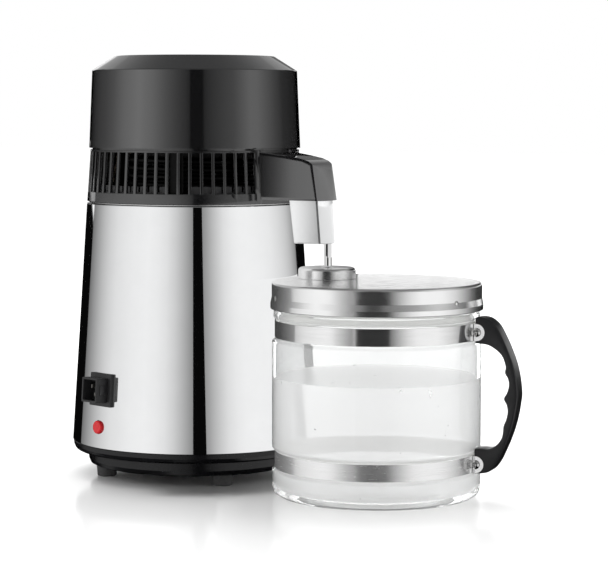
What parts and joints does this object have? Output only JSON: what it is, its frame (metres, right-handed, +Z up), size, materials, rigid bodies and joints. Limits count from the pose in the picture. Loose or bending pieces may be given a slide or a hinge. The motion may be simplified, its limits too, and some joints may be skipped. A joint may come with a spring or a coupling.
{
  "type": "water distiller",
  "caption": "Countertop water distiller: tapered polished steel boiler, black fan head with vented ring and spout, and a glass collecting jug with steel lid and black handle.",
  "frame": {"origin": "on the table plane, under the middle of the whole assembly's box", "axes": "+Z up from the table, +X along the spout from the boiler to the jug, -Y towards the side with the power inlet"},
  "size_m": [0.452, 0.2424, 0.3898],
  "materials": {
    "polished_steel": "mirror polished stainless steel",
    "satin_steel": "satin stainless steel",
    "cast_aluminium": "as cast",
    "dark_steel": "heat darkened",
    "black_moulding": "fine satin",
    "white_moulding": "matt",
    "rubber": "matt",
    "screw_steel": "bright zinc",
    "brass_pins": "satin",
    "red_plastic": "gloss",
    "wire_sleeve": "matt sleeve",
    "gloss_black": "high gloss",
    "satin_black": "satin gloss",
    "silicone": "translucent white",
    "motor_can": "satin",
    "fan_plastic": "satin",
    "light_grey": "satin",
    "clear_glass": "clear"
  },
  "bodies": {
    "base": {"shell": "polished_steel", "boiler_pot": "satin_steel", "pot_rim": "satin_steel", "pot_floor": "satin_steel", "heater_plate": "cast_aluminium", "heating_element": "dark_steel", "thermostat": "black_moulding", "thermal_fuse": "white_moulding", "base_ring": "black_moulding", "base_pan": "black_moulding", "feet": "rubber", "foot_screws": "screw_steel", "power_inlet": "black_moulding", "inlet_pins": "brass_pins", "reset_switch": "black_moulding", "reset_spring": "screw_steel", "lead_wires": "wire_sleeve", "fan_socket": "black_moulding"},
    "button": {"reset_button": "red_plastic"},
    "head": {"top_cover": "gloss_black", "cover_screws": "screw_steel", "vent_ring": "satin_black", "guard_ring": "satin_black", "steam_dome": "satin_steel", "seal_ring": "silicone", "dome_screws": "screw_steel", "dome_nuts": "screw_steel", "steam_riser": "satin_steel", "condenser_coil": "satin_steel", "air_drum": "black_moulding", "motor_bracket": "satin_steel", "fan_motor": "motor_can", "motor_screws": "screw_steel", "fan_leads": "wire_sleeve", "fan_plug": "black_moulding", "spout_hood": "satin_black", "nozzle_shroud": "light_grey", "charcoal_pod": "white_moulding", "outlet_pipe": "polished_steel"},
    "fan": {"motor_shaft": "screw_steel", "fan_rotor": "fan_plastic"},
    "jug": {"glass_jar": "clear_glass", "upper_band": "polished_steel", "lower_band": "polished_steel", "handle": "black_moulding", "handle_screws": "screw_steel", "handle_nuts": "screw_steel"},
    "lid": {"lid": "polished_steel", "lid_seal": "silicone", "inlet_cap": "polished_steel", "lid_rivets": "screw_steel"}
  },
  "joints": [
    {"name": "head_lift", "type": "slide", "parent": "base", "child": "head", "axis": [0, 0, 1], "range_m": [0, 0.15]},
    {"name": "fan_spin", "type": "hinge", "parent": "head", "child": "fan", "pos_m": [-0.1112, 0.0062, 0.326], "axis": [0, 0, 1], "continuous": true},
    {"name": "reset_press", "type": "slide", "parent": "base", "child": "button", "axis": [0.1836, 0.9809, -0.0645], "range_m": [0, 0.002], "stiffness_N_per_m": 800, "springref_m": -0.002, "deforming": ["reset_spring"]},
    {"name": "jug_pull", "type": "slide", "parent": "base", "child": "jug", "axis": [1, 0, 0], "range_m": [0, 0.18]},
    {"name": "lid_turn", "type": "hinge", "parent": "jug", "child": "lid", "pos_m": [0.0981, 0.0062, 0.18], "axis": [0, 0, 1], "continuous": true}
  ]
}
